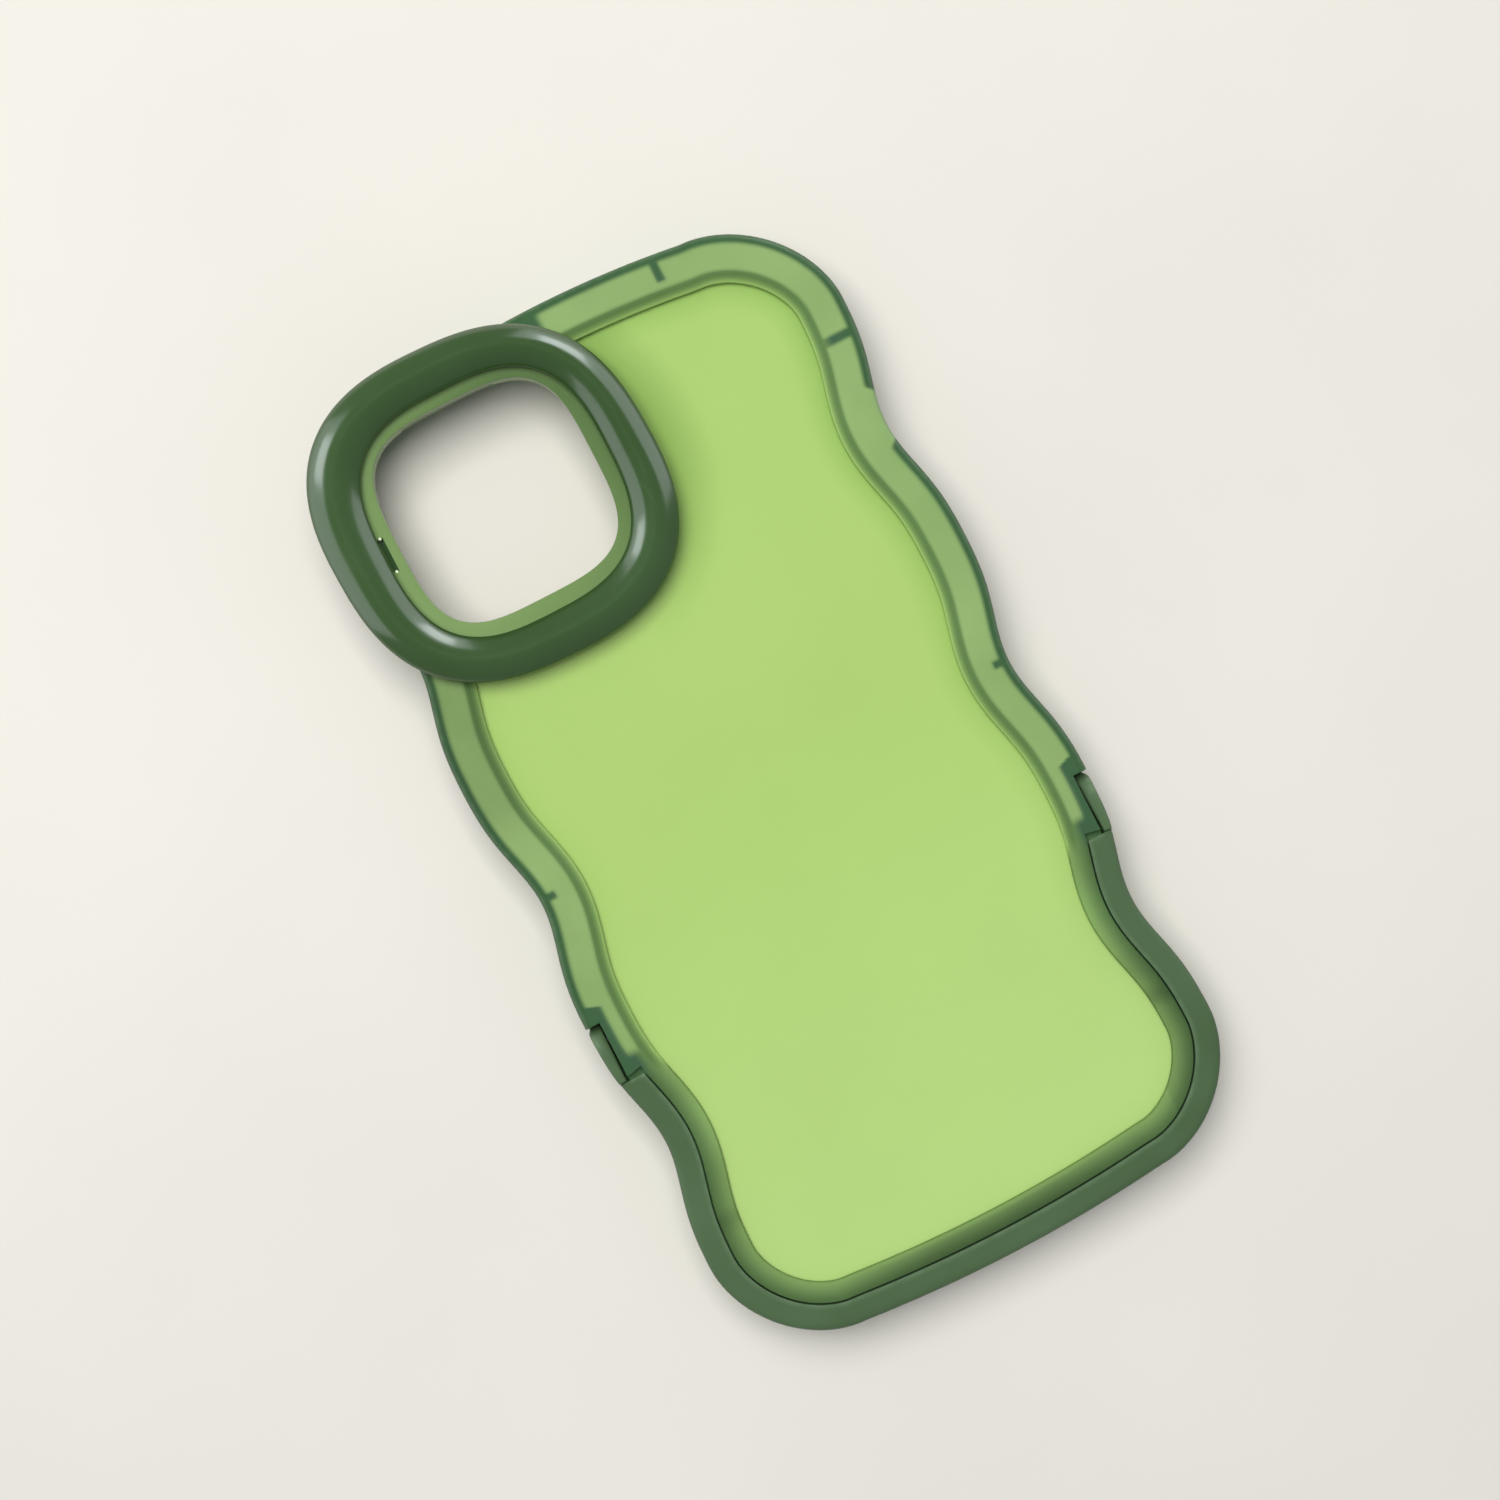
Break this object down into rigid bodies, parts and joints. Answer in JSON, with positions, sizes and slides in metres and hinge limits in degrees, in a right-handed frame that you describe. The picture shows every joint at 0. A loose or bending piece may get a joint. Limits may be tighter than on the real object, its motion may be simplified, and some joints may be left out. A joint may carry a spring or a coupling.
{
  "type": "phone case",
  "caption": "Phone case with a wavy translucent bumper frame, clear back panel, raised ring round the camera opening, side buttons and a U-shaped fold-out stand.",
  "frame": {"origin": "middle of the footprint, on the plane that the open front's lip rests on", "axes": "+Z out of the case's back, +Y along its length towards the camera end, +X across it, to the right seen from the back"},
  "size_m": [0.084, 0.1562, 0.016],
  "materials": {
    "soft_green": "translucent soft moulding, satin",
    "clear_green": "clear tinted hard plastic, glossy",
    "ring_green": "high gloss",
    "stand_green": "satin",
    "button_green": "satin",
    "steel": "drawn wire"
  },
  "bodies": {
    "case": {"bumper_frame": "soft_green", "back_panel": "clear_green", "camera_ring": "ring_green", "hinge_pin_left": "steel", "hinge_pin_right": "steel"},
    "stand": {"kickstand": "stand_green"},
    "volume_up": {"volume_up_button": "button_green"},
    "volume_down": {"volume_down_button": "button_green"},
    "power": {"power_button": "button_green"}
  },
  "joints": [
    {"name": "stand_hinge", "type": "hinge", "parent": "case", "child": "stand", "pos_m": [0.0007, -0.02314, 0.0076], "axis": [-1, 0, 0], "range_deg": [0, 75]},
    {"name": "volume_up_press", "type": "slide", "parent": "case", "child": "volume_up", "axis": [-1, 0, 0], "range_m": [0, 0.0004], "stiffness_N_per_m": 2000},
    {"name": "volume_down_press", "type": "slide", "parent": "case", "child": "volume_down", "axis": [-1, 0, 0], "range_m": [0, 0.0004], "stiffness_N_per_m": 2000},
    {"name": "power_press", "type": "slide", "parent": "case", "child": "power", "axis": [1, 0, 0], "range_m": [0, 0.0004], "stiffness_N_per_m": 2000}
  ]
}
